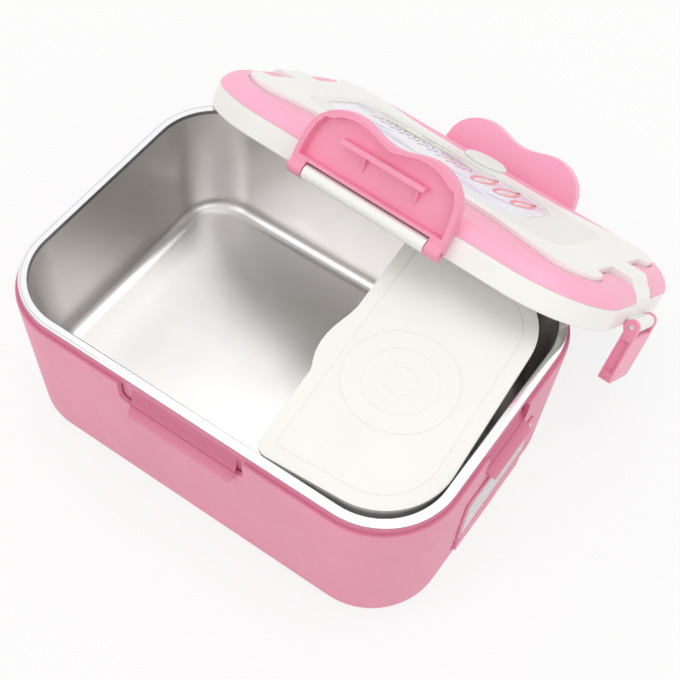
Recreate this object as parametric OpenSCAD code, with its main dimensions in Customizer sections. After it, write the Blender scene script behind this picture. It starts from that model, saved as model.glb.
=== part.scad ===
// Electric lunch box: heated body, lift-out steel tub, small tray and a loose
// lid with four snap latches and two fold-up carry handles.

/* [Body] */
// Length of the body over the shoulder
body_length = 234; // [220:1:250]
// Width of the body over the shoulder
body_width = 164; // [156:1:176]
// Height from the table to the top of the steel rim
body_height = 95; // [90:1:110]
// Corner radius of the body at the shoulder
body_corner = 39; // [34:1:42]
// How far the body wall leans in from shoulder to foot
body_taper = 3.2; // [1:0.2:4]
// Wall thickness of the outer shell
shell_wall = 2.4; // [2:0.2:2.8]
// Height of the collar between shoulder and steel rim
collar_height = 4.3; // [3:0.1:6]
// Height of the rubber feet under the body
foot_height = 1.5; // [1:0.25:3]

/* [Steel tub] */
// Width of the flat steel rim
rim_width = 4.5; // [3.5:0.1:5]
// Thickness of the steel rim
rim_thick = 0.8; // [0.6:0.1:1.2]
// Sheet thickness of the tub
sheet = 0.6; // [0.5:0.1:0.8]
// Depth of the tub inside
tub_depth = 67; // [58:1:68]
// How far the tub wall leans in from rim to floor
tub_taper = 5.5; // [3:0.5:7]
// Fillet between tub wall and floor
tub_fillet = 8; // [5:0.5:12]

/* [Small tray] */
// Length of the tray across the tub
tray_length = 141.5; // [132:0.5:141.5]
// Width of the tray
tray_width = 79; // [70:1:79]
// Wall thickness of the tray
tray_wall = 1.2; // [1:0.1:1.6]

/* [Lid] */
// Height of the lid skirt
skirt_height = 11.7; // [9:0.1:14]
// Wall thickness of the lid
lid_wall = 2; // [1.8:0.1:2.2]
// Height of the lid top above the skirt edge
lid_height = 21.5; // [20:0.1:23]
// Lean of the resting lid in degrees
lid_lean = 40; // [38:0.1:40.5]

/* [Latches] */
// Distance from the latch pin to the two lobes
latch_reach = 35.8; // [33:0.1:37]
// Distance from the latch pin to the hook rib
hook_reach = 21.4; // [20:0.1:23]
// Length of the hook rib
hook_length = 47; // [40:1:50]
// Radius of the steel latch pins
pin_radius = 1.3; // [1:0.1:1.5]

/* [Fits] */
// Radial play of a turning pin in its bore
pin_play = 0.04; // [0.03:0.01:0.08]
// Radial play of a screw in its hole
screw_play = 0.3; // [0.2:0.05:0.5]
// Gap between handle and lid
handle_gap = 0.6; // [0.5:0.05:0.8]
// Gap between nested shells
nest_gap = 0.5; // [0.4:0.05:0.7]

/* [Hidden] */
$fn = 72;

L = body_length;
W = body_width;
// corner radii go to a 64th so that the sweeps meet their own axis
R = round(body_corner * 64) / 64;
z_low = foot_height;
z_shoulder = body_height - rim_thick - collar_height;
foot_fillet = 10;
edge = 1.2;
face_lean = atan(body_taper / (z_shoulder - edge - z_low - foot_fillet));

collar_in = 2;
rim_in = collar_in + rim_width;
tub_floor = body_height - tub_depth;
tub_run = tub_depth - tub_fillet;
liner_wall = 1.2;
liner_low = tub_floor - sheet - nest_gap - liner_wall;
plate_low = liner_low - 1.6;

inlet_z = tub_floor - 6.1;
flap_z = inlet_z + edge - z_shoulder + 0.5;

cover_in = 14;
cover_thick = 2.5;
screw_at = [[62, 56], [-62, 56], [62, -56], [-62, -56]];
foot_at = [[84, 46], [-84, 46], [84, -46], [-84, -46], [0, 0]];
screw_r = 1.5;

catch_floor = 3.3;
catch_back = 4.5;
catch_low = z_shoulder - 12.9;
lip_out = 2.6;
lip_low = z_shoulder - 19.3;

tray_turn = 3.7;
tray_at = [L / 2 - 49.3, -1.6];
tray_corner = 34.5;
tray_r = round(tray_corner * 64) / 64;
tray_top = body_height - 1.4;
lid_at = [11.1, 112 + (W - 164) * 0.9, body_height - 35.9];
lid_turn = [-lid_lean, -0.9, -3.4];
lid_corner = 44.5;
lid_r = round(lid_corner * 64) / 64;
deck = skirt_height;
deck_low = deck - lid_wall;
inner_thick = 1;
band_top = 19.3;
handle_y = 17;
handle_z = deck + 3.5;
handle_pin = 1.6;
plug_at = [-4, 51];
plug_r = 12.4;

latch_out = 4.3;
latch_face = 4.0;
latch_skin = 2.0;
side_out = 4.2;
latch_z = 1.5;
ear = 8;
barrel_half = 35;
end_half = 13.4;
latch_play = 0.4;

// a flat section swept round a rounded rectangle; x = 0 is the outline
module around(l, w, r) {
    for (q = [0:3])
        rotate([0, 0, 90 * q])
            translate([(q % 2 == 0 ? l : w) / 2 - r, (q % 2 == 0 ? w : l) / 2 - r, 0]) {
                rotate_extrude(angle = 90) translate([r, 0]) children();
                rotate([90, 0, 0])
                    linear_extrude((q % 2 == 0 ? w : l) - 2 * r)
                        translate([r, 0]) children();
            }
}

// the same sweep with its middle filled from z0 to z1
module loaf(l, w, r, z0, z1) {
    around(l, w, r) children();
    translate([r - l / 2, r - w / 2, z0]) cube([l - 2 * r, w - 2 * r, z1 - z0]);
}

module rounded(l, w, r) {
    square([l - 2 * r, w], center = true);
    square([l, w - 2 * r], center = true);
    for (x = [-1, 1], y = [-1, 1])
        translate([x * (l / 2 - r), y * (w / 2 - r)]) circle(r);
}

module slab(l, w, r, z0, z1) {
    translate([0, 0, z0]) linear_extrude(z1 - z0) rounded(l, w, r);
}

module on_lid() {
    translate(lid_at) rotate(lid_turn) children();
}

// local frame on the right end wall: x out of the wall, z along it
module on_end() {
    translate([L / 2, 0, z_shoulder - edge]) rotate([0, face_lean, 0]) children();
}

// ---------------------------------------------------------------- body

module shell_section() {
    polygon([
        [-R, z_low], [-body_taper - foot_fillet, z_low],
        [-body_taper - foot_fillet * 0.35, z_low + foot_fillet * 0.35],
        [-body_taper, z_low + foot_fillet],
        [0, z_shoulder - edge], [-edge, z_shoulder], [-R, z_shoulder]
    ]);
    translate([-body_taper - foot_fillet, z_low + foot_fillet]) circle(foot_fillet);
    translate([-edge, z_shoulder - edge]) circle(edge);
}

module cavity_section() {
    low = z_low + 3;
    polygon([
        [-R, low], [-body_taper - shell_wall - 4, low],
        [-body_taper - shell_wall, low + 5],
        [-shell_wall, z_shoulder - 3.6], [-shell_wall - 1.6, z_shoulder - 2.2],
        [-collar_in - 2.1, z_shoulder - 2.2], [-collar_in - 2.1, body_height + 1],
        [-R, body_height + 1]
    ]);
}

module collar_section() {
    x0 = -collar_in - 2.1;
    z1 = body_height - rim_thick;
    translate([x0, z_shoulder - 2.2]) square([2.1, z1 - z_shoulder + 2.2]);
    translate([-collar_in - 0.1, z_shoulder - 1]) square([1.1, 1]);
}

// wall behind a catch, in a frame whose y = 0 is the body outline
module catch_backing(half) {
    translate([-half - 2.5, catch_floor, lip_low - 6])
        cube([2 * half + 5, catch_back - catch_floor, z_shoulder - lip_low + 5]);
}

// shallow recess from x0 to x1, open at the shoulder
module catch_pocket(x0, x1) {
    top = z_shoulder + 0.3;
    translate([0, catch_floor, 0])
        rotate([90, 0, 0])
            linear_extrude(catch_floor + 3) {
                translate([x0, catch_low + 4]) square([x1 - x0, top - catch_low - 4]);
                translate([x0 + 4, catch_low]) square([x1 - x0 - 8, 6]);
                for (x = [x0 + 4, x1 - 4]) translate([x, catch_low + 4]) circle(4);
            }
}

module catch_ledge(x0, x1, out) {
    top = z_shoulder - 1.6;
    intersection() {
        translate([x0, 0, 0])
            rotate([90, 0, 90])
                linear_extrude(x1 - x0)
                    polygon([
                        [catch_floor + 0.4, top], [catch_floor, top],
                        [catch_floor - 0.2, top - 4.3], [catch_floor - 1, top - 8.3],
                        [catch_floor - 2.5, top - 11.8], [1.6 - out, lip_low + 3.4],
                        [0.4 - out, lip_low + 2.2], [-out, lip_low + 1.4],
                        [-out, lip_low + 0.6], [0.8 - out, lip_low],
                        [catch_floor + 0.4, lip_low]
                    ]);
        translate([0, 10, 0])
            rotate([90, 0, 0])
                linear_extrude(20) {
                    translate([x0, lip_low + 4]) square([x1 - x0, 30]);
                    translate([x0 + 4, lip_low - 1]) square([x1 - x0 - 8, 8]);
                    for (x = [x0 + 4, x1 - 4]) translate([x, lip_low + 4]) circle(4);
                }
    }
}

module front_frame() {
    translate([0, -W / 2, 0]) children();
}

module back_frame() {
    translate([0, W / 2, 0]) rotate([0, 0, 180]) children();
}

module right_frame() {
    translate([L / 2, 0, 0]) rotate([0, 0, 90]) children();
}

module left_frame() {
    translate([-L / 2, 0, 0]) rotate([0, 0, -90]) children();
}

module outer_shell() color("HotPink") {
    difference() {
        union() {
            difference() {
                loaf(L, W, R, z_low, z_shoulder) shell_section();
                loaf(L, W, R, z_low + 3, body_height + 1) cavity_section();
            }
            around(L, W, R) collar_section();
            front_frame() catch_backing(35.5);
            back_frame() catch_backing(35.5);
            right_frame() catch_backing(17);
            left_frame() catch_backing(17);
        }
        slab(L - 2 * cover_in, W - 2 * cover_in, R - cover_in, 0, z_low + 4);
        front_frame() catch_pocket(-35.5, 33);
        back_frame() catch_pocket(-33, 35.5);
        right_frame() catch_pocket(-17, 17);
        left_frame() catch_pocket(-17, 17);
        translate([L / 2 - 12, -12.6, inlet_z - 5.7]) cube([20, 25.2, 11.4]);
        translate([L / 2 - 12, 20.5, inlet_z]) rotate([0, 90, 0]) cylinder(r = 4.9, h = 20);
        on_end() translate([-2, -29.4, flap_z - 6.1]) cube([4, 58.8, 13.6]);
    }
    front_frame() catch_ledge(-30, 28, lip_out);
    back_frame() catch_ledge(-28, 30, lip_out);
    right_frame() catch_ledge(-15.6, 17, lip_out + 1.2);
    left_frame() catch_ledge(-15.6, 17, lip_out + 1.2);
}

module tub_section(grow) {
    x1 = -rim_in + grow;
    x0 = x1 - tub_taper;
    f = tub_fillet + grow;
    zf = tub_floor + tub_fillet;
    polygon([
        [-R, tub_floor - grow], [x0 - f, tub_floor - grow],
        [x0 - f * 0.35, zf - f * 0.65], [x0, zf],
        [x1, body_height], [x1, body_height + 1], [-R, body_height + 1]
    ]);
    translate([x0 - f, zf]) circle(f);
}

module tub_loaf(grow) {
    loaf(L, W, R, tub_floor - grow, body_height + 1) tub_section(grow);
}

module inner_liner() color("LightGrey") {
    gap = sheet + nest_gap;
    difference() {
        union() {
            intersection() {
                tub_loaf(gap + liner_wall);
                loaf(L, W, R, liner_low - 1, body_height - rim_thick)
                    translate([-R, liner_low - 1])
                        square([R - collar_in - 2.2, body_height - rim_thick - liner_low + 1]);
            }
            for (p = screw_at)
                translate([p[0], p[1], z_low + cover_thick])
                    cylinder(r = 4, h = liner_low - z_low - cover_thick + 0.5);
        }
        tub_loaf(gap);
        slab(158.6, 94.6, 10, liner_low - 8, tub_floor);
        for (p = screw_at)
            translate([p[0], p[1], 0]) cylinder(r = screw_r + 0.1, h = 16);
    }
}

module bottom_cover() color("HotPink") {
    z1 = z_low + cover_thick;
    g = cover_in + 0.3;
    difference() {
        slab(L - 2 * g, W - 2 * g, R - g, z_low, z1);
        for (p = screw_at) translate([p[0], p[1], 0]) {
            cylinder(r = screw_r + screw_play, h = 10);
            translate([0, 0, -1]) cylinder(r = 3.4, h = z_low + 2.2);
        }
        for (p = foot_at) translate([p[0], p[1], 0]) cylinder(r = 7.2, h = z_low + 1);
        for (i = [2:6], s = [-1, 1]) translate([s * i * 7, 0, 0]) {
            translate([-1.5, -14, 0]) cube([3, 28, 10]);
            translate([0, -14, 0]) cylinder(r = 1.5, h = 10);
            translate([0, 14, 0]) cylinder(r = 1.5, h = 10);
        }
    }
}

module rubber_feet() color("DimGray") {
    for (p = foot_at) translate([p[0], p[1], 0]) {
        cylinder(r1 = 6.2, r2 = 6.8, h = 0.8);
        translate([0, 0, 0.8]) cylinder(r = 6.8, h = z_low + 0.2);
    }
}

module cover_screws() color("Silver") {
    for (p = screw_at) translate([p[0], p[1], z_low - 0.6]) {
        difference() {
            cylinder(r = 2.9, h = 1.8);
            translate([-2, -0.35, -1]) cube([4, 0.7, 1.8]);
            translate([-0.35, -2, -1]) cube([0.7, 4, 1.8]);
        }
        translate([0, 0, 1.8]) cylinder(r = screw_r, h = 11);
    }
}

// ---------------------------------------------------------------- heater

module heating_plate() color("Gainsboro") {
    top = tub_floor - sheet - 0.3;
    slab(166, 102, 14, plate_low, liner_low);
    slab(158, 94, 9.7, liner_low, top);
}

module ptc_elements() color("DarkSlateGray") {
    for (x = [-40, 40]) translate([x - 32, -11, plate_low - 5]) cube([64, 22, 5]);
    for (x = [-40, 40], y = [-6, 6]) translate([x * 1.8 - 5, y - 2, plate_low - 3.5])
        cube([10, 4, 0.8]);
}

module thermostat() color("Black") {
    translate([0, 31, plate_low - 3]) cylinder(r = 8, h = 3);
    translate([0, 31, plate_low - 8]) cylinder(r = 6.5, h = 5);
    for (x = [-1, 1]) translate([x * 7.5 - 3.5, 29, plate_low - 7]) cube([7, 4, 0.8]);
}

module thermal_fuse() color("Peru") {
    translate([-9, -31, plate_low - 2.1]) rotate([0, 90, 0]) cylinder(r = 2.1, h = 18);
    for (x = [-22, 9]) translate([x, -31, plate_low - 2.1])
        rotate([0, 90, 0]) cylinder(r = 0.5, h = 13);
}

module heat_shield() color("Silver") {
    z0 = z_low + cover_thick + 4;
    difference() {
        slab(176, 104, 8, z0, z0 + 0.6);
        slab(40, 20, 4, z0 - 1, z0 + 2);
    }
    for (x = [-86, 86], y = [-38, 38]) translate([x - 1, y - 5, z0 + 0.6])
        cube([0.8, 10, liner_low - z0 - 0.6]);
    for (x = [-86, 86], y = [-38, 38]) translate([x - 3, y - 5, z_low + cover_thick])
        cube([6, 10, 4]);
}

// ---------------------------------------------------------------- inlet

module power_inlet() color("Black") {
    x0 = L / 2 - 14.5;
    x1 = L / 2 - 4.6;
    difference() {
        union() {
            translate([x0, -11.5, inlet_z - 5.1]) cube([x1 - x0, 23, 10.2]);
            translate([x0 - 7, -9, inlet_z - 7.9]) cube([7, 18, 8]);
        }
        translate([x0 + 1.5, 0, inlet_z]) rotate([0, 90, 0]) linear_extrude(30) {
            square([8.2, 11], center = true);
            for (y = [-5.5, 5.5]) translate([0, y]) circle(4.1);
        }
        for (y = [-4.3, 4.3]) translate([x0 - 8, y, inlet_z - 1.2])
            rotate([0, 90, 0]) cylinder(r = 1.2, h = 20);
    }
}

module inlet_pins() color("Silver") {
    x0 = L / 2 - 24;
    for (y = [-4.3, 4.3]) translate([x0, y, inlet_z - 1.2]) {
        rotate([0, 90, 0]) cylinder(r = 1.2, h = 13.2);
        translate([13.2, 0, 0]) sphere(1.2, $fn = 24);
    }
}

module dc_jack() color("Black") {
    x0 = L / 2 - 14.5;
    x1 = L / 2 - 4.6;
    translate([x0, 20.5, inlet_z]) rotate([0, 90, 0]) {
        difference() {
            cylinder(r = 4.6, h = x1 - x0);
            translate([0, 0, 1.5]) cylinder(r = 3.2, h = 30);
        }
        translate([0, 0, 1.5]) cylinder(r = 1, h = x1 - x0 - 3);
    }
}

module inlet_panel() color("Pink") {
    on_end() translate([0, 0, -41.4]) rotate([90, 0, 90]) linear_extrude(1.2)
        rounded(59, 34.8, 3);
}

module flap_bore_r() {
    cylinder(r = 0.9 + pin_play, h = 80, center = true);
}

module inlet_flap() color("HotPink") {
    on_end() {
        difference() {
            union() {
                translate([0, 0, flap_z]) rotate([90, 0, 90]) linear_extrude(1.6)
                    rounded(58, 11.6, 2.5);
                translate([0, 0, flap_z + 5.7]) rotate([90, 0, 0])
                    cylinder(r = 1.6, h = 56, center = true);
                translate([0.2, -9, flap_z - 6.9]) cube([1.4, 18, 3]);
            }
            translate([0, 0, flap_z + 5.7]) rotate([90, 0, 0]) flap_bore_r();
        }
    }
}

module flap_pin() color("Silver") {
    on_end() translate([0, 0, flap_z + 5.7]) rotate([90, 0, 0])
        cylinder(r = 0.9, h = 58.4, center = true);
}

// ---------------------------------------------------------------- tub and tray

module rim_section() {
    zt = body_height - rim_thick;
    h = rim_thick / 2;
    translate([-rim_in - 0.01, zt]) square([rim_width + 0.01 - h, rim_thick]);
    translate([-collar_in - h, zt + h]) circle(h);
}

module steel_tub() color("Silver") {
    difference() {
        union() {
            around(L, W, R) rim_section();
            intersection() {
                tub_loaf(sheet);
                translate([-L, -W, 0]) cube([2 * L, 2 * W, body_height]);
            }
        }
        tub_loaf(0);
    }
}

module tray_plan(grow) {
    l = tray_width + 2 * grow;
    w = tray_length + 2 * grow;
    big = tray_r + grow;
    small = max(7 + grow, 1.5);
    square([l - 2 * big, w], center = true);
    translate([0, big - w / 2]) square([l / 2, w - 2 * big]);
    translate([-l / 2, small - w / 2]) square([l / 2 + 1, w - 2 * small]);
    translate([small - l / 2, -w / 2]) square([l / 2 - small, w]);
    for (y = [-1, 1]) {
        translate([l / 2 - big, y * (w / 2 - big)]) circle(big);
        translate([small - l / 2, y * (w / 2 - small)]) circle(small);
    }
}

module tray_frame() {
    translate([tray_at[0], tray_at[1], 0]) rotate([0, 0, tray_turn]) children();
}

// solid with the tray's plan, its walls leaning from grow g0 at z0 to g1 at z1
module tray_mass(z0, z1, g0, g1) {
    l = tray_width;
    w = tray_length;
    big = [[0, z0], [tray_r + g0, z0], [tray_r + g1, z1], [0, z1]];
    small = [[0, z0], [12 + g0, z0], [12 + g1, z1], [0, z1]];
    for (y = [-1, 1]) {
        translate([l / 2 - tray_r, y * (w / 2 - tray_r), 0]) rotate([0, 0, 45 * y - 45])
            rotate_extrude(angle = 90) polygon(big);
        translate([12 - l / 2, y * (w / 2 - 12), 0]) rotate([0, 0, 135 - 45 * y])
            rotate_extrude(angle = 90) polygon(small);
    }
    translate([l / 2 - tray_r, 0, 0]) rotate([90, 0, 0])
        linear_extrude(w - 2 * tray_r, center = true) polygon(big);
    translate([12 - l / 2, 0, 0]) rotate([90, 0, 180])
        linear_extrude(w - 24, center = true) polygon(small);
    translate([12 - l / 2, w / 2 - 12, 0]) rotate([90, 0, 90])
        linear_extrude(l - 12 - tray_r) polygon(small);
    translate([l / 2 - tray_r, 12 - w / 2, 0]) rotate([90, 0, -90])
        linear_extrude(l - 12 - tray_r) polygon(small);
    translate([12 - l / 2, 12 - w / 2, z0]) cube([l - 12 - tray_r, w - 24, z1 - z0]);
}

module small_tray() color("White") {
    low = tub_floor + 0.6;
    high = tray_top - 5;
    tray_frame() {
        difference() {
            union() {
                tray_mass(low, high, -10.2, -1.6);
                tray_mass(high, high + 3, -0.9, -0.9);
            }
            tray_mass(low + 1.4, high, -10 - tray_wall, -1.6 - tray_wall);
            tray_mass(high - 0.1, high + 4, -1.6 - tray_wall, -1.6 - tray_wall);
        }
        translate([0, 0, tub_floor]) linear_extrude(0.6) square([36, 84], center = true);
    }
}

finger_tab = [
    [1, 17], [-0.1, 17], [-0.7, 13], [-1.7, 9], [-2.8, 5], [-3.6, 1], [-4.2, -3],
    [-4.3, -7], [-3.9, -11], [-3.1, -15], [-1.9, -18.5], [-0.8, -21], [-0.1, -23.5],
    [1, -23.5]
];

module tray_lid() color("White") {
    l2 = tray_width / 2;
    tray_frame() {
        difference() {
            union() {
                translate([0, 0, tray_top - 2]) linear_extrude(2) tray_plan(0);
                translate([-l2, 0, tray_top - 2]) linear_extrude(2) polygon(finger_tab);
            }
            translate([0, 0, tray_top - 0.4]) linear_extrude(1) difference() {
                tray_plan(-6.5);
                tray_plan(-7.5);
            }
            translate([-2.75, -7.4, tray_top - 0.4]) {
                difference() {
                    cylinder(r = 27.4, h = 1);
                    translate([0, 0, -1]) cylinder(r = 26.4, h = 3);
                }
            }
        }
        difference() {
            tray_mass(tray_top - 4.6, tray_top - 1.9, -2 - tray_wall, -2 - tray_wall);
            tray_mass(tray_top - 5, tray_top, -3.4 - tray_wall, -3.4 - tray_wall);
        }
    }
}

// ---------------------------------------------------------------- lid

// right half plan of a handle, front
band_half = [
    [35, -50], [45, -51.3], [55, -54], [65, -57.3], [75, -60], [84, -61.4],
    [91, -60.8], [97, -58], [101.5, -53], [103.4, -47.5], [103.4, -41],
    [101.6, -38.4], [99.2, -36.6], [98.6, -34], [98.6, -13.6], [125, -13.6], [125, -95]
];

// right half plan of the raised middle: what the two handles leave free
hg = handle_gap;
plateau_half = [
    [35, hg - 50], [45, hg - 51.3], [55, hg - 54], [65, hg - 57.3], [75, hg - 60],
    [84, hg - 61.4], [90.8, hg - 60.8], [96.6, hg - 58], [101, -52.8], [102.7, -47.4],
    [102.7, -41.4], [101, -39.2], [98, -37.6], [97.8, -34], [97.8, -12.9],
    [L / 2 + 4, -12.9], [L / 2 + 4, 12.9], [97.8, 12.9], [97.8, 34], [98, 37.6],
    [101, 39.2], [102.7, 41.4], [102.7, 47.4], [101, 52.8], [96.6, 58 - hg],
    [90.8, 60.8 - hg], [84, 61.4 - hg], [75, 60 - hg], [65, 57.3 - hg], [55, 54 - hg],
    [45, 51.3 - hg], [35, 50 - hg]
];

function with_mirror(p) =
    concat(p, [for (i = [len(p) - 1:-1:0]) [-p[i][0], p[i][1]]]);

module lid_section(low, high) {
    polygon([
        [-lid_r, low], [0, low], [0, deck], [-0.6, deck + 1.6], [-2.2, deck + 3.8],
        [-4.6, deck + 5.8], [-7.6, high - 0.4], [-10.4, high], [-lid_r, high]
    ]);
}

module barrel(half, y, z, r) {
    translate([0, y, z]) rotate([0, 90, 0]) cylinder(r = r, h = 2 * half, center = true);
}

module long_hinge() {
    y = -W / 2 - latch_out;
    barrel(barrel_half, y, latch_z, 3.7);
    translate([-barrel_half, y, latch_z - 1.5]) cube([2 * barrel_half, latch_out + 1, 3.6]);
}

module end_hinge() {
    y = -L / 2 - side_out;
    barrel(end_half, y, latch_z, 3.5);
    translate([-end_half, y, latch_z - 1.5]) cube([2 * end_half, side_out + 1, 3.6]);
}

module lid_sides() {
    for (s = [0, 180]) rotate([0, 0, s]) children(0);
    for (s = [90, -90]) rotate([0, 0, s]) children(1);
}

module lid_shell() color("White") on_lid() {
    difference() {
        union() {
            loaf(L, W, lid_r, 0, deck)
                polygon([[-lid_r, 0], [-0.5, 0], [0, 0.6], [0, deck - 0.5],
                         [-0.5, deck], [-lid_r, deck]]);
            intersection() {
                translate([0, 0, deck - 1])
                    linear_extrude(20) polygon(with_mirror(plateau_half));
                loaf(L, W, lid_r, deck - 2, lid_height) lid_section(deck - 2, lid_height);
            }
            translate([plug_at[0], plug_at[1], deck - 1])
                cylinder(r = plug_r + 0.2, h = lid_height - deck + 1);
            lid_sides() {
                long_hinge();
                end_hinge();
            }
        }
        translate([0, 0, -1]) loaf(L, W, lid_r, 0, deck_low + 1)
            polygon([[-lid_r, 0], [-lid_wall, 0], [-lid_wall, deck_low + 1],
                     [-lid_r, deck_low + 1]]);
        slab(184, 92, 20, 1, lid_height - lid_wall);
        lid_sides() {
            barrel(60, -W / 2 - latch_out, latch_z, pin_radius);
            barrel(30, -L / 2 - side_out, latch_z, pin_radius);
        }
        for (s = [-1, 1]) barrel(110, s * handle_y, handle_z, handle_pin);
        translate(plug_at) cylinder(r = 7.1, h = 40);
        translate([-10.5, 0, lid_height - 0.8]) linear_extrude(5) rounded(124, 66, 22);
    }
}

module lid_inner_plate() color("WhiteSmoke") on_lid() {
    difference() {
        slab(L - 14, W - 14, lid_r - 7, deck_low - inner_thick, deck_low);
        translate(plug_at) cylinder(r = 6.5, h = 40);
    }
    difference() {
        slab(L - 17, W - 17, lid_r - 8.5, 4.2, deck_low - inner_thick);
        slab(L - 20, W - 20, lid_r - 10, 3, deck_low);
    }
}

module lid_seal() color("White") on_lid() {
    around(L, W, lid_r) {
        translate([-4.9, deck_low - 1.8]) circle(1.8);
        translate([-6.4, deck_low - 3.8]) square([3, 1.2]);
    }
}

module latch_pins() color("Silver") on_lid() {
    lid_sides() {
        barrel(barrel_half + ear - 1, -W / 2 - latch_out, latch_z, pin_radius);
        barrel(end_half + 3, -L / 2 - side_out, latch_z, pin_radius);
    }
}

module handle_pins() color("Silver") on_lid() {
    for (s = [-1, 1], e = [-1, 1])
        translate([e * 99, s * handle_y, handle_z]) rotate([0, 90, 0])
            cylinder(r = handle_pin, h = 20, center = true);
}

// latch frame: x along the pin, z away from it, +y the outside when shut
module wave_plan(cut) {
    h = barrel_half + ear + 0.6 - cut;
    t = latch_reach - cut;
    polygon([
        [-h, 5 + cut * 0.6], [h, 5 + cut * 0.6], [h, 10], [h - 0.6, 17], [h - 1.9, 23],
        [h - 4.6, 28], [h - 8.4, t - 4.2], [h - 13, t - 1.6], [h - 18, t - 0.3],
        [h - 22.5, t], [h - 27.5, t - 0.6], [h - 32.5, t - 2.1], [h - 38, t - 3.6],
        [0, t - 4.2],
        [38 - h, t - 3.6], [32.5 - h, t - 2.1], [27.5 - h, t - 0.6], [22.5 - h, t],
        [18 - h, t - 0.3], [13 - h, t - 1.6], [8.4 - h, t - 4.2], [4.6 - h, 28],
        [1.9 - h, 23], [0.6 - h, 17], [-h, 10]
    ]);
}

module wave_latch() {
    inner = latch_face - latch_skin;
    difference() {
        union() {
            translate([0, latch_face, 0]) rotate([90, 0, 0])
                linear_extrude(latch_skin + 4.8) wave_plan(0);
            for (s = [-1, 1]) translate([s * (barrel_half + latch_play + ear / 2 + 0.1), 0, 0]) {
                rotate([0, 90, 0]) cylinder(r = 4, h = ear - 0.2, center = true);
                translate([-ear / 2 + 0.1, 0, 0]) cube([ear - 0.2, 4, 8]);
                translate([-ear / 2 + 0.1, -2.8, 2]) cube([ear - 0.2, 6.8, 6]);
            }
        }
        translate([0, inner, 0]) rotate([90, 0, 0]) linear_extrude(20) wave_plan(2.7);
        translate([-barrel_half - latch_play, -9, -5])
            cube([2 * barrel_half + 2 * latch_play, 20, 9.3]);
        rotate([0, 90, 0]) cylinder(r = pin_radius + pin_play, h = 200, center = true);
    }
    translate([-hook_length / 2, inner - 5.4, hook_reach])
        cube([hook_length, 5.5, 1.8]);
    translate([-hook_length / 2, inner - 5.4, hook_reach - 0.7])
        cube([hook_length, 1.2, 0.8]);
    for (x = [-10, 20]) translate([x - 0.6, 0, 0]) rotate([90, 0, 90]) linear_extrude(1.2)
        polygon([[inner + 0.1, 12], [inner + 0.1, hook_reach + 0.1],
                 [inner - 4, hook_reach + 0.1]]);
}

module end_latch() {
    half = end_half + latch_play;
    inner = latch_face - latch_skin;
    difference() {
        union() {
            translate([0, latch_face, 0]) rotate([90, 0, 0]) linear_extrude(latch_skin + 4.4) {
                translate([-half - 3.2, 4]) square([2 * half + 6.4, 22]);
                translate([-half + 0.8, 4]) square([2 * half - 1.6, 26]);
                for (x = [-1, 1]) translate([x * (half - 0.8), 26]) circle(4);
            }
            for (s = [-1, 1]) translate([s * (half + 1.6), 0, 0]) {
                rotate([0, 90, 0]) cylinder(r = 3.9, h = 3.2, center = true);
                translate([-1.6, -2.4, 0]) cube([3.2, 6.3, 8]);
            }
        }
        translate([0, inner, 0]) rotate([90, 0, 0]) linear_extrude(20) {
            translate([-half, 6.6]) square([2 * half, 19]);
            translate([-half + 2, 6.6]) square([2 * half - 4, 21]);
            for (x = [-1, 1]) translate([x * (half - 2), 25.6]) circle(2);
        }
        translate([-half, -9, -5]) cube([2 * half, 20, 9.3]);
        for (s = [-1, 1]) translate([s * (half + 3.2), 0.8, 15.5])
            cube([2.4, 4, 17], center = true);
        rotate([0, 90, 0]) cylinder(r = pin_radius + pin_play, h = 200, center = true);
    }
    translate([-11, inner - 5, hook_reach - 1]) cube([22, 5.1, 1.6]);
}

module front_latch() color("HotPink") on_lid()
    translate([0, -W / 2 - latch_out, latch_z]) wave_latch();

module back_latch() color("HotPink") on_lid()
    translate([0, W / 2 + latch_out, latch_z]) rotate([0, 0, 180]) wave_latch();

module right_latch() color("HotPink") on_lid()
    translate([L / 2 + side_out, 0, latch_z])
        rotate([0, 0, 90]) rotate([180, 0, 0]) end_latch();

module left_latch() color("HotPink") on_lid()
    translate([-L / 2 - side_out, 0, latch_z])
        rotate([0, 0, -90]) rotate([180, 0, 0]) end_latch();

module band(notch) {
    difference() {
        intersection() {
            translate([0, 0, deck + 0.1])
                linear_extrude(20) polygon(with_mirror(band_half));
            loaf(L, W, lid_r, deck - 1, band_top) lid_section(deck - 1, band_top);
        }
        around(L, W, lid_r) translate([-17.5, band_top + 13.2]) circle(14, $fn = 96);
        if (notch) translate(-plug_at) cylinder(r = plug_r + 1.2, h = 40);
        for (s = [-1, 1]) {
            translate([s * 104, 0, 0]) {
                barrel(5.6, -handle_y, handle_z, handle_pin + pin_play);
            }
            translate([s * 110, -handle_y, handle_z]) difference() {
                translate([-20, 0, -6]) cube([40, 8, 14]);
                rotate([0, 90, 0]) cylinder(r = 3.4, h = 60, center = true);
            }
        }
    }
}

module front_handle() color("HotPink") on_lid() band(false);

module back_handle() color("HotPink") on_lid() rotate([0, 0, 180]) band(true);

module steam_plug() color("White") on_lid() translate(plug_at) {
    translate([0, 0, lid_height + 0.05]) cylinder(r = plug_r, h = 1.6);
    translate([0, 0, lid_height + 1.6]) cylinder(r1 = plug_r - 0.4, r2 = plug_r - 1.6, h = 0.7);
    translate([0, 0, deck_low - 1.5]) cylinder(r = 6.3, h = lid_height - deck_low + 1.6);
}

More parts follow.
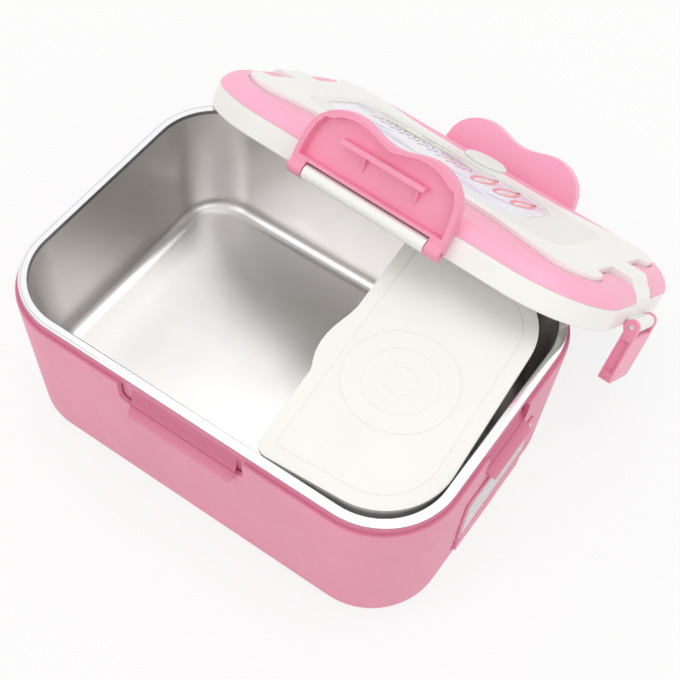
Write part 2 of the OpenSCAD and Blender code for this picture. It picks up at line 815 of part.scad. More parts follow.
outer_shell();
inner_liner();
bottom_cover();
rubber_feet();
cover_screws();
heating_plate();
ptc_elements();
thermostat();
thermal_fuse();
heat_shield();
power_inlet();
inlet_pins();
dc_jack();
inlet_panel();
inlet_flap();
flap_pin();
steel_tub();
small_tray();
tray_lid();
lid_shell();
lid_inner_plate();
lid_seal();
latch_pins();
handle_pins();
front_latch();
back_latch();
left_latch();
right_latch();
front_handle();
back_handle();
steam_plug();
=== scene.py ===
import math

import bpy
from mathutils import Matrix, Vector


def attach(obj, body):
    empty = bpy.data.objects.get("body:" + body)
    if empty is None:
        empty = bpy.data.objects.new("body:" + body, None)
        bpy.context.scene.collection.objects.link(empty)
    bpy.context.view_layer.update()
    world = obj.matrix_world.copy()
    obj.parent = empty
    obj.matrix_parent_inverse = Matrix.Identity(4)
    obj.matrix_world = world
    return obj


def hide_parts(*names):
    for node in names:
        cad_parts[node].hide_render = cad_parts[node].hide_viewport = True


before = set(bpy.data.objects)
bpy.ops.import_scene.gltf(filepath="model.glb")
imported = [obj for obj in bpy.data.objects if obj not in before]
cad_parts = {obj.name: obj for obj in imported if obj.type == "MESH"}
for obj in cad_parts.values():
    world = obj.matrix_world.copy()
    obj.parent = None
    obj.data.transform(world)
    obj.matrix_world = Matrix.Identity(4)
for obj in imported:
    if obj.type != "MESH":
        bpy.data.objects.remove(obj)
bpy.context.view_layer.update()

scene = bpy.context.scene
MM = 0.001

# Sizes that part.scad also uses, in millimetres
BODY_LENGTH, BODY_WIDTH, BODY_HEIGHT = 234.0, 164.0, 95.0
BODY_CORNER = 39.0
LID_HEIGHT = 21.5
LID_AT = Vector((11.1, 112.0, 59.1))
LID_TURN = [math.radians(v) for v in (-40.0, -0.9, -3.4)]
LID_FRAME = (
    Matrix.Translation(LID_AT)
    @ Matrix.Rotation(LID_TURN[2], 4, "Z")
    @ Matrix.Rotation(LID_TURN[1], 4, "Y")
    @ Matrix.Rotation(LID_TURN[0], 4, "X")
)
TRAY_AT, TRAY_TURN = Vector((67.7, -1.6, 0)), math.radians(3.7)
TRAY_FRAME = Matrix.Translation(TRAY_AT) @ Matrix.Rotation(TRAY_TURN, 4, "Z")
RING_CENTRE = (-2.75, -7.4, 0)
# The straight part of the body's wall, and how far it leans in on its way down
WALL_TOP, WALL_FOOT, BODY_TAPER = 88.7, 11.5, 3.2
END_LEAN = math.atan(BODY_TAPER / (WALL_TOP - WALL_FOOT))
END_FRAME = (
    Matrix.Translation((BODY_LENGTH / 2, 0, WALL_TOP)) @ Matrix.Rotation(END_LEAN, 4, "Y")
)

# Camera: angles in degrees, lengths and sensor in millimetres, focal length and width in pixels
AZIMUTH, ELEVATION, ROLL = 31.324, 55.966, 4.243
EYE_DISTANCE, SHIFT_RIGHT, SHIFT_UP = 615.597, 21.621, -20.731
FOCAL_LENGTH, IMAGE_WIDTH, SENSOR = 1349.83, 680, 36


# ------------------------------------------------------------------ camera

def place_camera():
    azimuth, elevation, roll = (math.radians(v) for v in (AZIMUTH, ELEVATION, ROLL))
    back = Vector((
        math.sin(azimuth) * math.cos(elevation),
        -math.cos(azimuth) * math.cos(elevation),
        math.sin(elevation),
    ))
    level = Vector((math.cos(azimuth), math.sin(azimuth), 0))
    up = back.cross(level)
    right = math.cos(roll) * level + math.sin(roll) * up
    top = -math.sin(roll) * level + math.cos(roll) * up
    eye = EYE_DISTANCE * back + SHIFT_RIGHT * right + SHIFT_UP * top + Vector((0, 0, BODY_HEIGHT))
    data = bpy.data.cameras.new("camera")
    data.lens = FOCAL_LENGTH * SENSOR / IMAGE_WIDTH
    data.sensor_width = SENSOR
    data.clip_start, data.clip_end = 0.01, 20
    camera = bpy.data.objects.new("camera", data)
    scene.collection.objects.link(camera)
    turn = Matrix((right, top, back)).transposed().to_4x4()
    camera.matrix_world = Matrix.Translation(eye * MM) @ turn
    scene.camera = camera


# ------------------------------------------------------------------ node helpers

def srgb(r, g, b):
    """A colour given as 0-255 screen values, as linear light."""
    def lin(v):
        v /= 255
        return v / 12.92 if v <= 0.04045 else ((v + 0.055) / 1.055) ** 2.4
    return (lin(r), lin(g), lin(b), 1)


def in_metres(place):
    place = place.copy()
    place.translation = place.translation * MM
    return place


class Nodes:
    """A node tree under construction: nodes are added and joined by name."""

    # A Mix node keeps sockets for every data type; these are its factor and its two values
    NUMBERS, COLOURS = (0, 2, 3), (0, 6, 7)

    def __init__(self, tree, space):
        self.tree = tree
        self.where = self.add("ShaderNodeTexCoord").outputs[space]

    def add(self, kind, **values):
        node = self.tree.nodes.new(kind)
        for key, value in values.items():
            if hasattr(node, key):
                setattr(node, key, value)
            else:
                node.inputs[key.replace("_", " ")].default_value = value
        return node

    def join(self, out, into):
        self.tree.links.new(out, into)

    def feed(self, value, socket):
        """Gives a socket a fixed value, or joins another node's output to it."""
        if isinstance(value, (tuple, float, int)):
            socket.default_value = value
        else:
            self.join(value, socket)

    def sums(self, operation, *values):
        node = self.add("ShaderNodeMath", operation=operation)
        for value, socket in zip(values, node.inputs):
            self.feed(value, socket)
        return node.outputs[0]

    def axes(self, source=None):
        node = self.add("ShaderNodeSeparateXYZ")
        self.join(source or self.where, node.inputs[0])
        return node.outputs

    def level(self, fac, low_in, high_in, low, high):
        node = self.add("ShaderNodeMapRange", From_Min=low_in, From_Max=high_in,
                        To_Min=low, To_Max=high)
        self.join(fac, node.inputs["Value"])
        return node.outputs["Result"]

    def mix(self, fac, one, two):
        """A colour that goes from one to two as fac goes from 0 to 1."""
        node = self.add("ShaderNodeMix", data_type="RGBA")
        for value, place in zip((fac, one, two), self.COLOURS):
            self.feed(value, node.inputs[place])
        return node.outputs[2]

    def pick(self, fac, one, two):
        """A number that goes from one to two as fac goes from 0 to 1."""
        node = self.add("ShaderNodeMix")
        for value, place in zip((fac, one, two), self.NUMBERS):
            self.feed(value, node.inputs[place])
        return node.outputs[0]


class Finish(Nodes):
    """A material under construction, or a finished one that is added to."""

    def __init__(self, material):
        material.use_nodes = True
        super().__init__(material.node_tree, "Object")
        self.material = material
        self.shader = self.tree.nodes["Principled BSDF"]

    @classmethod
    def new(cls, name):
        return cls(bpy.data.materials.new(name))

    def mapped(self, scale=(1, 1, 1), turn=(0, 0, 0), move=(0, 0, 0), source=None):
        node = self.add("ShaderNodeMapping", Scale=scale, Rotation=turn, Location=move)
        self.join(source or self.where, node.inputs["Vector"])
        return node.outputs["Vector"]

    def on_frame(self, place):
        """Places in a tilted part's own frame, in metres."""
        back = in_metres(place).inverted()
        return self.mapped(turn=back.to_euler("XYZ"), move=back.translation)

    def noise(self, scale, detail, rough=0.5, source=None):
        node = self.add("ShaderNodeTexNoise", Scale=scale, Detail=detail, Roughness=rough)
        self.join(source or self.where, node.inputs["Vector"])
        return node.outputs["Fac"]

    def ramp(self, fac, *stops):
        node = self.add("ShaderNodeValToRGB")
        marks = node.color_ramp.elements
        while len(marks) < len(stops):
            marks.new(0.5)
        for mark, (place, colour) in zip(marks, stops):
            mark.position = place
            mark.color = colour
        self.join(fac, node.inputs["Fac"])
        return node.outputs["Color"]

    def bump(self, height, strength, distance, under=None):
        node = self.add("ShaderNodeBump", Strength=strength, Distance=distance)
        self.join(height, node.inputs["Height"])
        if under:
            self.join(under, node.inputs["Normal"])
        return node.outputs["Normal"]

    def from_outline(self, length, width, corner):
        """Distance outside a rounded rectangle in plan, in metres; negative inside it."""
        x, y, _ = self.axes()
        over = []
        for place, size in ((x, length), (y, width)):
            over.append(self.sums("SUBTRACT", self.sums("ABSOLUTE", place), size / 2 - corner))
        out = [self.sums("MAXIMUM", v, 0.0) for v in over]
        round_part = self.sums("SQRT", self.sums(
            "ADD", self.sums("MULTIPLY", out[0], out[0]), self.sums("MULTIPLY", out[1], out[1])))
        flat_part = self.sums("MINIMUM", self.sums("MAXIMUM", over[0], over[1]), 0.0)
        return self.sums("SUBTRACT", self.sums("ADD", round_part, flat_part), corner)

    def between(self, value, low, high, soft=0.0001):
        """1 where a value lies between two limits, with soft ends."""
        up = self.level(value, low, low + soft, 0.0, 1.0)
        down = self.level(value, high - soft, high, 1.0, 0.0)
        return self.sums("MULTIPLY", up, down)

    def now(self, key):
        """The output that feeds one of the shader's inputs so far."""
        return self.shader.inputs[key].links[0].from_socket

    def set(self, **values):
        for key, value in values.items():
            self.feed(value, self.shader.inputs[key.replace("_", " ")])
        return self.material


PLASTIC_IOR = 1.49
WHITE, BLACK = (1, 1, 1, 1), (0, 0, 0, 1)


def moulded(name, colour, rough, grain, speck=0.0, drift=0.035, coat=0.0):
    """Moulded plastic: slow tone drift, uneven gloss, a fine grain and, if asked, specks."""
    f = Finish.new(name)
    light = tuple(min(1, c * (1 + drift)) for c in colour[:3]) + (1,)
    dark = tuple(c * (1 - drift) for c in colour[:3]) + (1,)
    tone = f.ramp(f.noise(22, 4), (0.3, dark), (0.7, light))
    if speck:
        flecks = f.ramp(f.noise(1500, 2, 0.7), (0.55, BLACK), (0.72, WHITE))
        pale = tuple(min(1, c * (1 + speck) + 0.02 * speck) for c in colour[:3]) + (1,)
        tone = f.mix(flecks, tone, pale)
        pits = f.ramp(f.noise(1100, 2, 0.7, f.mapped(move=(3, 1, 2))), (0.6, BLACK), (0.75, WHITE))
        deep = tuple(c * (1 - speck) for c in colour[:3]) + (1,)
        tone = f.mix(pits, tone, deep)
    gloss = f.level(f.noise(60, 5, 0.6), 0.3, 0.7, rough * 0.88, rough * 1.12)
    skin = f.bump(f.noise(2600, 3, 0.6), grain, 0.0002)
    swell = f.bump(f.noise(45, 2), 0.04, 0.0008, skin)
    f.set(Base_Color=tone, Roughness=gloss, Normal=swell, IOR=PLASTIC_IOR)
    if coat:
        f.set(Coat_Weight=coat, Coat_Roughness=0.12)
    return f.material


def blasted_steel(name, colour, rough, rim_height):
    """The tub: bead-blasted inside, with a polished flange above rim_height painted brighter as a
    painted highlight, and painted reflection lines round the rim.
    """
    f = Finish.new(name)
    pale = tuple(min(1, c * 1.04) for c in colour[:3]) + (1,)
    deep = tuple(c * 0.93 for c in colour[:3]) + (1,)
    tone = f.ramp(f.noise(14, 4, 0.6), (0.3, deep), (0.7, pale))
    grit = f.noise(1700, 3, 0.7)
    tone = f.mix(f.level(grit, 0.45, 0.75, 0.0, 0.35), tone, deep)
    height = f.axes()[2]
    flange = f.level(height, rim_height, rim_height + 0.0003, 0.0, 1.0)
    # painted highlight: the flange is painted a brighter colour than the blasted steel
    tone = f.mix(flange, tone, (0.93, 0.93, 0.94, 1))
    inward = f.from_outline(BODY_LENGTH * MM, BODY_WIDTH * MM, BODY_CORNER * MM)
    top = f.level(height, rim_height - 0.0014, rim_height - 0.001, 0.0, 1.0)
    # painted reflection lines round the rim, from its inner lip to its outer edge, in metres from
    # the outline
    for band, inner, outer, soft, share, reflection_tone in (
        (top, -0.0071, -0.006, 0.0002, 0.85, (0.16, 0.16, 0.165, 1)),
        (flange, -0.0038, -0.0026, 0.0005, 0.5, (0.5, 0.5, 0.53, 1)),
        (flange, -0.0022, -0.001, 0.0002, 0.6, (0.4, 0.38, 0.39, 1)),
    ):
        line = f.sums("MULTIPLY", band, f.between(inward, inner, outer, soft))
        tone = f.mix(f.sums("MULTIPLY", line, share), tone, reflection_tone)
    gloss = f.level(f.noise(90, 4, 0.6), 0.3, 0.7, rough * 0.93, rough * 1.07)
    gloss = f.sums("MULTIPLY", gloss, f.level(flange, 0.0, 1.0, 1.0, 0.55))
    skin = f.bump(grit, 0.22, 0.00012)
    swell = f.bump(f.noise(30, 2), 0.05, 0.0006, skin)
    return f.set(Base_Color=tone, Metallic=1.0, Roughness=gloss, Normal=swell)


def satin_steel(name, colour, rough, line_scale):
    """Drawn or brushed metal: long fine lines over a cloudy satin."""
    f = Finish.new(name)
    brush = f.noise(900, 4, 0.65, f.mapped(scale=line_scale))
    cloud = f.noise(18, 4, 0.55)
    pale = tuple(min(1, c * 1.05) for c in colour[:3]) + (1,)
    deep = tuple(c * 0.93 for c in colour[:3]) + (1,)
    tone = f.ramp(cloud, (0.3, deep), (0.7, pale))
    tone = f.mix(f.level(brush, 0.35, 0.65, 0.0, 0.25), tone, deep)
    gloss = f.level(brush, 0.3, 0.7, rough * 0.85, rough * 1.2)
    skin = f.bump(f.noise(2200, 2, 0.6), 0.1, 0.00006)
    drawn = f.bump(brush, 0.12, 0.00006, skin)
    return f.set(Base_Color=tone, Metallic=1.0, Roughness=gloss, Normal=drawn)


def body_plastic():
    """Body pink, with painted shade: the catches and the shoulder are painted a deeper pink, and
    are smoother.
    """
    f = Finish(moulded("body_pink", srgb(229, 149, 175), 0.5, grain=0.1, speck=0.1))
    x, y, z = f.axes()
    wide, deep = f.sums("ABSOLUTE", x), f.sums("ABSOLUTE", y)
    # painted shade in the catches: near the middle of the long walls, and near the middle of the
    # end walls
    long_side = f.sums("MULTIPLY", f.between(wide, -1.0, 0.0302), f.between(deep, 0.07, 0.2))
    end_side = f.sums("MULTIPLY", f.between(deep, -1.0, 0.0172), f.between(wide, 0.105, 0.2))
    side = f.sums("MAXIMUM", long_side, end_side)
    shade = f.sums("MULTIPLY", side, f.level(z, 0.0705, 0.080, 0.12, 0.85))
    catch_shade = f.sums("MULTIPLY", shade, f.between(z, 0.0703, 0.0893))
    # painted shade along the shoulder at the top of the wall
    shoulder = f.level(z, 0.0894, 0.0897, 0.0, 0.5)
    painted_shade = f.sums("MAXIMUM", catch_shade, shoulder)
    gloss = f.sums("SUBTRACT", f.now("Roughness"), f.sums("MULTIPLY", painted_shade, 0.12))
    return f.set(Base_Color=f.mix(painted_shade, f.now("Base Color"), srgb(203, 100, 134)),
                 Roughness=gloss)


def lid_plastic():
    """White lid moulding; the flat middle of the top is a slightly greyer white."""
    f = Finish(moulded("lid_white", srgb(246, 246, 243), 0.34, grain=0.04, drift=0.01))
    x, y, z = f.axes(f.on_frame(LID_FRAME))
    # a rounded oblong, from its half length and half width
    wide, deep = (
        f.sums("POWER", f.sums("ABSOLUTE", f.sums("DIVIDE", place, half)), 8.0)
        for place, half in ((x, 0.077), (y, 0.042))
    )
    inside = f.level(f.sums("ADD", wide, deep), 0.9, 1.1, 1.0, 0.0)
    top = f.sums("MULTIPLY", inside, f.level(z, 0.0198, 0.0202, 0.0, 1.0))
    return f.set(Base_Color=f.mix(top, f.now("Base Color"), srgb(238, 239, 236)))


def tray_lid_plastic():
    """White tray lid with two fine raised rings on the round panel."""
    f = Finish(moulded("tray_lid_white", srgb(244, 243, 239), 0.4, grain=0.05, drift=0.01))
    x, y, _ = f.axes(f.on_frame(TRAY_FRAME @ Matrix.Translation(RING_CENTRE)))
    away = f.sums("SQRT", f.sums("ADD", f.sums("MULTIPLY", x, x), f.sums("MULTIPLY", y, y)))
    inner, outer = (
        f.level(f.sums("ABSOLUTE", f.sums("SUBTRACT", away, radius)), 0.0, 0.0006, 1.0, 0.0)
        for radius in (0.0075, 0.0175)
    )
    rings = f.sums("MAXIMUM", inner, outer)
    return f.set(Normal=f.bump(rings, 0.5, 0.0003, f.now("Normal")))


def pearl_film(name):
    """Label film: soft pearly bands along its length, one grey and one pink, bluer to the right."""
    f = Finish.new(name)
    place = f.on_frame(LID_FRAME)
    drift = f.noise(1, 3, 0.5, f.mapped(scale=(26, 70, 1), source=place))
    x, y, _ = f.axes(place)
    level = f.sums("ADD", y, f.sums("MULTIPLY", f.sums("SUBTRACT", drift, 0.5), 0.016))
    bands = f.ramp(f.level(level, -0.032, 0.032, 0.0, 1.0),
                   (0.0, srgb(240, 240, 246)), (0.5, srgb(238, 235, 244)),
                   (0.68, srgb(232, 226, 236)), (0.78, srgb(190, 192, 194)),
                   (0.86, srgb(222, 220, 222)), (0.92, srgb(232, 214, 228)),
                   (1.0, srgb(238, 228, 238)))
    right = f.level(f.sums("ADD", x, f.sums("MULTIPLY", drift, 0.02)), 0.004, 0.024, 0.0, 1.0)
    tone = f.mix(right, bands, srgb(228, 228, 242))
    cloud = f.noise(1, 2, 0.5, f.mapped(scale=(40, 90, 1), move=(2, 5, 0), source=place))
    tone = f.mix(f.level(cloud, 0.52, 0.66, 0.0, 0.6), tone, srgb(247, 247, 252))
    skin = f.bump(f.noise(120, 2, 0.5, place), 0.03, 0.0003)
    f.set(Base_Color=tone, Roughness=f.level(cloud, 0.3, 0.7, 0.2, 0.3), Normal=skin)
    f.set(Metallic=0.12, Coat_Weight=0.4, Coat_Roughness=0.1)
    return f.material


def curl_film(name):
    """The end panel's film: misty lavender with pale curling lines."""
    f = Finish.new(name)
    place = f.on_frame(END_FRAME)
    mist = f.noise(55, 4, 0.6, place)
    tone = f.ramp(mist, (0.3, srgb(176, 168, 184)), (0.5, srgb(196, 186, 192)),
                  (0.7, srgb(206, 186, 178)))
    bend = f.add("ShaderNodeTexWave", wave_type="RINGS", rings_direction="SPHERICAL",
                 Scale=34, Distortion=9, Detail=1.5, Detail_Scale=1.2)
    f.join(place, bend.inputs["Vector"])
    line = f.level(bend.outputs["Fac"], 0.9, 0.97, 0.0, 0.75)
    tone = f.mix(line, tone, srgb(232, 230, 240))
    skin = f.bump(f.noise(200, 3, 0.5, place), 0.05, 0.0003)
    f.set(Base_Color=tone, Roughness=f.level(mist, 0.3, 0.7, 0.28, 0.4), Normal=skin, Metallic=0.1)
    f.set(Coat_Weight=0.35, Coat_Roughness=0.1)
    return f.material


# ------------------------------------------------------------------ mesh helpers

# Thickness of a printed layer; width of a film's sloping border and its rise, in millimetres
PRINT_THICK = 0.05
FILM_BORDER, FILM_RISE = 0.3, 0.05

# Faces that meet at less than FLAT become one; edges sharper than ROUNDED are rounded; the
# others are the angles under which a copy, a kept node and a print are shaded smooth
FLAT, ROUNDED, SMOOTH_COPY, SMOOTH_NODE, SMOOTH_PRINT = (
    math.radians(v) for v in (0.25, 32, 38, 30, 35)
)


def alone(obj):
    bpy.ops.object.select_all(action="DESELECT")
    obj.select_set(True)
    bpy.context.view_layer.objects.active = obj


def finished_copy(node, body, material, edge, segments=2, merge=0.004):
    """The node's own shape, its points merged within merge mm and its edges rounded."""
    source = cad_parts[node]
    piece = bpy.data.objects.new(node + "_dressed", source.data.copy())
    scene.collection.objects.link(piece)
    alone(piece)
    bpy.ops.object.mode_set(mode="EDIT")
    bpy.ops.mesh.select_all(action="SELECT")
    bpy.ops.mesh.remove_doubles(threshold=merge * MM)
    bpy.ops.mesh.dissolve_limited(angle_limit=FLAT)
    bpy.ops.object.mode_set(mode="OBJECT")
    if edge:
        bevel = piece.modifiers.new("rounded", "BEVEL")
        bevel.width = edge * MM
        bevel.segments = segments
        bevel.limit_method = "ANGLE"
        bevel.angle_limit = ROUNDED
        bevel.use_clamp_overlap = True
        bevel.miter_outer = "MITER_ARC"
        bpy.ops.object.modifier_apply(modifier=bevel.name)
    bpy.ops.object.shade_smooth_by_angle(angle=SMOOTH_COPY)
    if edge:
        flat = piece.modifiers.new("flat_faces", "WEIGHTED_NORMAL")
        flat.keep_sharp = True
        bpy.ops.object.modifier_apply(modifier=flat.name)
    piece.data.materials.clear()
    piece.data.materials.append(material)
    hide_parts(node)
    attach(piece, body)


def dress_node(node, material):
    """A node that stays as it is gets its finish and smooth round faces."""
    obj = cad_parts[node]
    alone(obj)
    bpy.ops.object.shade_smooth_by_angle(angle=SMOOTH_NODE)
    obj.data.materials.clear()
    obj.data.materials.append(material)


def lay(piece, place, body, material):
    """Moves a piece drawn round the origin to its place and settles it there."""
    alone(piece)
    piece.matrix_world = in_metres(place)
    bpy.ops.object.transform_apply(location=True, rotation=True, scale=True)
    bpy.ops.object.mode_set(mode="EDIT")
    bpy.ops.mesh.select_all(action="SELECT")
    bpy.ops.mesh.normals_make_consistent(inside=False)
    bpy.ops.object.mode_set(mode="OBJECT")
    bpy.ops.object.shade_smooth_by_angle(angle=SMOOTH_PRINT)
    piece.data.materials.clear()
    piece.data.materials.append(material)
    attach(piece, body)


def film(name, length, width, corner, thick):
    """A thin rounded sheet, flat on top, that rises from its edge by a narrow sloping border."""
    bpy.ops.object.select_all(action="DESELECT")
    bpy.ops.mesh.primitive_plane_add(size=1)
    piece = bpy.context.object
    piece.name = piece.data.name = name
    bpy.ops.object.mode_set(mode="EDIT")
    bpy.ops.mesh.select_all(action="SELECT")
    bpy.ops.transform.resize(value=(length * MM, width * MM, 1), center_override=(0, 0, 0))
    bpy.ops.mesh.bevel(offset=corner * MM, segments=14, affect="VERTICES")
    bpy.ops.mesh.select_all(action="SELECT")
    bpy.ops.mesh.extrude_region_move(TRANSFORM_OT_translate={"value": (0, 0, thick * MM)})
    bpy.ops.mesh.inset(thickness=FILM_BORDER * MM)
    bpy.ops.transform.translate(value=(0, 0, FILM_RISE * MM))
    bpy.ops.object.mode_set(mode="OBJECT")
    return piece


def blank(length, width, points):
    """A flat oval drawn round the origin, left in object mode."""
    bpy.ops.object.select_all(action="DESELECT")
    bpy.ops.mesh.primitive_circle_add(vertices=points, radius=0.5, fill_type="NGON")
    bpy.ops.object.mode_set(mode="EDIT")
    bpy.ops.mesh.select_all(action="SELECT")
    bpy.ops.transform.resize(value=(length * MM, width * MM, 1), center_override=(0, 0, 0))
    bpy.ops.object.mode_set(mode="OBJECT")
    return bpy.context.object


def sharpen(shape, length, point, curve):
    """Draws one end of an oval in to a tip."""
    for v in shape.data.vertices:
        along = v.co.x / (length * MM / 2)
        v.co.y *= 1 - point * max(0.0, along) ** curve


def put(shape, x, y, turn):
    """Turns a shape, moves it to its place and settles it there."""
    shape.matrix_world = (
        Matrix.Translation((x * MM, y * MM, 0)) @ Matrix.Rotation(math.radians(turn), 4, "Z")
    )
    bpy.ops.object.transform_apply(location=True, rotation=True, scale=True)


def printed_shapes(name, shapes):
    """Flat printed motifs in one mesh: (x, y, length, width, turn, point) in mm and degrees."""
    drawn = []
    for x, y, length, width, turn, point in shapes:
        shape = blank(length, width, points=20)
        sharpen(shape, length, point, curve=1.5)
        put(shape, x, y, turn)
        drawn.append(shape)
    return one_sheet(name, drawn)


def petal_rings(name, petals, line):
    """Open petals drawn with one round line: (x, y, length, width, turn) in mm and degrees."""
    drawn = []
    for x, y, length, width, turn in petals:
        shape = blank(length, width, points=40)
        sharpen(shape, length, point=0.72, curve=1.3)
        bpy.ops.object.mode_set(mode="EDIT")
        bpy.ops.mesh.select_all(action="SELECT")
        bpy.ops.mesh.inset(thickness=line * MM)
        bpy.ops.mesh.delete(type="FACE")
        bpy.ops.object.mode_set(mode="OBJECT")
        put(shape, x, y, turn)
        drawn.append(shape)
    return one_sheet(name, drawn)


def one_sheet(name, drawn):
    """Joins flat shapes and gives them the thickness of a printed layer."""
    bpy.ops.object.select_all(action="DESELECT")
    for shape in drawn:
        shape.select_set(True)
    piece = bpy.context.view_layer.objects.active = drawn[0]
    bpy.ops.object.join()
    piece.name = piece.data.name = name
    bpy.ops.object.mode_set(mode="EDIT")
    bpy.ops.mesh.select_all(action="SELECT")
    bpy.ops.mesh.extrude_region_move(TRANSFORM_OT_translate={"value": (0, 0, PRINT_THICK * MM)})
    bpy.ops.object.mode_set(mode="OBJECT")
    return piece


# ------------------------------------------------------------------ stage and light

FLOOR_GLOW = 0.82
AMBIENT = 0.74
WARM_WHITE = (1, 0.97, 0.93, 1)
COOL_WHITE = (0.96, 0.985, 1.0)
LAMP_TARGET = Vector((0, 0, 0.05))


def paper_floor():
    """A pale floor, nearly plain white where it is seen or mirrored, with a soft shadow."""
    bpy.ops.object.select_all(action="DESELECT")
    bpy.ops.mesh.primitive_plane_add(size=8, location=(0, 0, -0.0002))
    floor = bpy.context.object
    floor.name = "floor"
    f = Finish.new("floor_paper")
    tone = f.ramp(f.noise(3, 2), (0.3, (0.86, 0.86, 0.86, 1)), (0.7, (0.9, 0.9, 0.9, 1)))
    f.set(Base_Color=tone, Roughness=0.9)
    glow = f.add("ShaderNodeEmission", Color=WHITE, Strength=1.0)
    rays = f.add("ShaderNodeLightPath").outputs
    seen = f.sums("MAXIMUM", rays["Is Camera Ray"], rays["Is Glossy Ray"])
    seen = f.sums("MAXIMUM", seen, rays["Is Transmission Ray"])
    blend = f.add("ShaderNodeMixShader")
    f.join(f.sums("MULTIPLY", seen, FLOOR_GLOW), blend.inputs[0])
    f.join(f.shader.outputs[0], blend.inputs[1])
    f.join(glow.outputs[0], blend.inputs[2])
    f.join(blend.outputs[0], f.tree.nodes["Material Output"].inputs["Surface"])
    floor.data.materials.append(f.material)


def room():
    """A white room with a soft, slightly warm fill, dimmer in front for the steel to mirror."""
    world = bpy.data.worlds.new("studio")
    scene.world = world
    world.use_nodes = True
    n = Nodes(world.node_tree, "Generated")
    rays = n.add("ShaderNodeLightPath").outputs
    x, y, _ = n.axes()
    front = n.level(x, -0.55, -0.05, 0.22, 0.9)
    mirrored = n.pick(n.level(y, -0.45, 0.25, 0.0, 1.0), front, 1.0)
    strength = n.pick(rays["Is Glossy Ray"], AMBIENT, mirrored)
    strength = n.pick(rays["Is Transmission Ray"], strength, 1.0)
    strength = n.pick(rays["Is Camera Ray"], strength, 1.0)
    ground = n.tree.nodes["Background"].inputs
    n.join(strength, ground["Strength"])
    n.join(n.mix(rays["Is Diffuse Ray"], WHITE, WARM_WHITE), ground["Color"])


def softbox(name, place, size, power):
    """A rectangular lamp turned to the middle of the body."""
    data = bpy.data.lights.new(name, "AREA")
    data.shape = "RECTANGLE"
    data.size, data.size_y = size
    data.energy = power
    data.color = COOL_WHITE
    lamp = bpy.data.objects.new(name, data)
    scene.collection.objects.link(lamp)
    lamp.location = place
    lamp.rotation_mode = "QUATERNION"
    lamp.rotation_quaternion = (LAMP_TARGET - Vector(place)).to_track_quat("-Z", "Y")


place_camera()
paper_floor()
room()
softbox("overhead", (0.1, 0.35, 1.25), (1.3, 1.0), 4.0)
softbox("right_fill", (1.2, -0.5, 0.7), (0.9, 0.8), 1.9)
softbox("front_fill", (-0.55, -0.95, 0.95), (0.9, 0.6), 3.1)

# ------------------------------------------------------------------ finishes

body_pink = body_plastic()
cover_pink = moulded("cover_pink", srgb(215, 135, 162), 0.55, grain=0.12, speck=0.08)
trim_pink = moulded("trim_pink", srgb(247, 157, 187), 0.36, grain=0.05)
grip_pink = moulded("grip_pink", srgb(255, 179, 207), 0.4, grain=0.05)
# the back latch's pink: the same plastic as trim_pink, painted lighter as painted light
latch_pink_painted_light = moulded("latch_pink_painted_light", srgb(255, 182, 211), 0.36, grain=0.05)
lid_white = lid_plastic()
tray_white = moulded("tray_white", srgb(244, 243, 239), 0.4, grain=0.05, drift=0.01)
tray_lid_white = tray_lid_plastic()
plug_white = moulded("plug_white", srgb(240, 241, 238), 0.45, grain=0.05, drift=0.015)
liner_grey = moulded("liner_grey", srgb(178, 178, 178), 0.55, grain=0.1)
socket_black = moulded("socket_black", srgb(34, 34, 36), 0.45, grain=0.12)
heater_dark = moulded("heater_dark", srgb(70, 70, 74), 0.5, grain=0.15)
fuse_brown = moulded("fuse_brown", srgb(176, 146, 96), 0.8, grain=0.4)
foot_rubber = moulded("foot_rubber", srgb(58, 58, 60), 0.75, grain=0.3)
seal_white = moulded("seal_white", srgb(232, 232, 228), 0.3, grain=0.03, coat=0.3)
tub_steel = blasted_steel("tub_steel", srgb(226, 223, 221), 0.3, 0.0943)
pin_steel = satin_steel("pin_steel", srgb(200, 200, 200), 0.25, (30, 1, 1))
shield_steel = satin_steel("shield_steel", srgb(190, 190, 188), 0.3, (1, 20, 1))
plate_alloy = satin_steel("plate_alloy", srgb(205, 205, 205), 0.35, (1, 20, 1))

# ------------------------------------------------------------------ dressed nodes

finished_copy("outer_shell", "base", body_pink, 0.45)
finished_copy("inlet_panel", "base", body_pink, 0.35)
finished_copy("inlet_flap", "flap", body_pink, 0.3)
finished_copy("bottom_cover", "base", cover_pink, 0.3)
finished_copy("steel_tub", "tub", tub_steel, 0)
finished_copy("small_tray", "tray", tray_white, 0.35, merge=0.06)
finished_copy("tray_lid", "tray_cover", tray_lid_white, 0.3)
finished_copy("lid_shell", "lid", lid_white, 0.45)
finished_copy("steam_plug", "plug", plug_white, 0.5, 3)
finished_copy("front_handle", "front_grip", grip_pink, 0.6, 3)
finished_copy("back_handle", "back_grip", grip_pink, 0.6, 3)
finished_copy("front_latch", "front_snap", trim_pink, 0.6, 3)
finished_copy("back_latch", "back_snap", latch_pink_painted_light, 0.6, 3)
finished_copy("left_latch", "left_snap", trim_pink, 0.5, 3)
finished_copy("right_latch", "right_snap", trim_pink, 0.5, 3)

# ------------------------------------------------------------------ printed films

LABEL_FRAME = LID_FRAME @ Matrix.Translation((-10.5, 0, LID_HEIGHT - 0.8))
lay(film("lid_label", 121, 63, 21, 0.25), LABEL_FRAME, "lid",
    pearl_film("label_pearl"))


def on_label(piece, material, height=0.3):
    """Lays a print on the lid label, height mm above its underside."""
    lay(piece, LABEL_FRAME @ Matrix.Translation((0, 0, height)), "lid", material)


def ink(name, colour, rough=0.35, drift=0.05):
    return moulded("print_" + name, srgb(*colour), rough, grain=0.02, drift=drift)


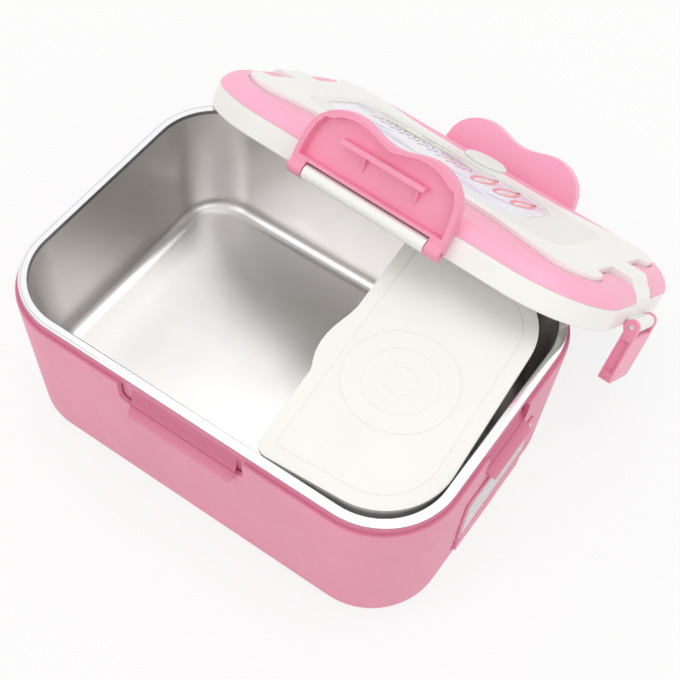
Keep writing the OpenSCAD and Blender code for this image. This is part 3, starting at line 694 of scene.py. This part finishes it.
petals = [(24, 12, 31, 10.5, 84), (37.5, 13, 31, 10.5, 84), (49.5, 8, 27, 9.5, 80)]
on_label(petal_rings("label_petals", petals, 2.3), ink("coral", (244, 146, 152), drift=0.08))
cores = [(x + 0.6, y - 2, 11, 2.4, turn, 0.8) for x, y, _, _, turn in petals]
on_label(printed_shapes("label_cores", cores), ink("blush", (250, 205, 208)))
creams = [(-27, 25, 16, 6.5, 4, 0.7), (-8, 27.5, 22, 3.2, 6, 0.9), (-44, 21, 12, 4, 12, 0.8),
          (10, 25, 12, 2.4, -8, 0.9)]
on_label(printed_shapes("label_creams", creams), ink("cream", (240, 240, 208)))
leaves = [(-41, -6, 27, 8, 24, 0.8), (-19, -13, 33, 9, -14, 0.8), (8, -9, 30, 8, 16, 0.8),
          (26, -19, 30, 8, -12, 0.8), (44, -9, 20, 6.5, 28, 0.8), (-40, -21, 20, 6.5, -6, 0.8)]
on_label(printed_shapes("label_leaves", leaves), ink("mist", (218, 212, 234), 0.3, 0.06))
ribs = [(x - 1, y, length * 0.72, 0.7, turn, 0.8) for x, y, length, _, turn, _ in leaves]
on_label(printed_shapes("label_ribs", ribs), ink("frost", (243, 241, 250), 0.3, 0.03), 0.36)
greys = [(-22, 20.5, 40, 3.2, 9, 0.8), (2, 20, 22, 3.6, -4, 0.8), (-12, 29.5, 26, 2.4, 2, 0.8)]
on_label(printed_shapes("label_bands", greys), ink("silver", (172, 177, 178), 0.3, 0.1))
for name, colour, first in (("sprigs", (196, 150, 192), 0), ("buds", (150, 158, 176), 1)):
    marks = []
    for k in range(first, 30, 2):
        rise = 4.2 * ((k * 7) % 3 - 1)
        marks.append((-46 + 2.05 * k, 13.5 - 0.1 * k + rise, 5.6, 1.5, 68 + 22 * (k % 3), 0.6))
    on_label(printed_shapes("label_" + name, marks), ink(name, colour, drift=0.15))

# The face of the end panel, with its length along Y and its height along Z
PANEL_FRAME = END_FRAME @ Matrix.Translation((1.2, 0, -41.4)) @ Matrix(
    ((0, 0, 1, 0), (1, 0, 0, 0), (0, 1, 0, 0), (0, 0, 0, 1)))
lay(film("panel_film", 55, 31, 4, 0.15), PANEL_FRAME, "base",
    curl_film("panel_curls"))

# ------------------------------------------------------------------ nodes that stay as they are

for node, material in (
    ("inner_liner", liner_grey), ("lid_inner_plate", lid_white), ("lid_seal", seal_white),
    ("rubber_feet", foot_rubber), ("cover_screws", pin_steel), ("heating_plate", plate_alloy),
    ("ptc_elements", heater_dark), ("thermostat", socket_black), ("thermal_fuse", fuse_brown),
    ("heat_shield", shield_steel), ("power_inlet", socket_black), ("inlet_pins", pin_steel),
    ("dc_jack", socket_black), ("flap_pin", pin_steel), ("latch_pins", pin_steel),
    ("handle_pins", pin_steel),
):
    dress_node(node, material)

scene.view_settings.view_transform = "Standard"
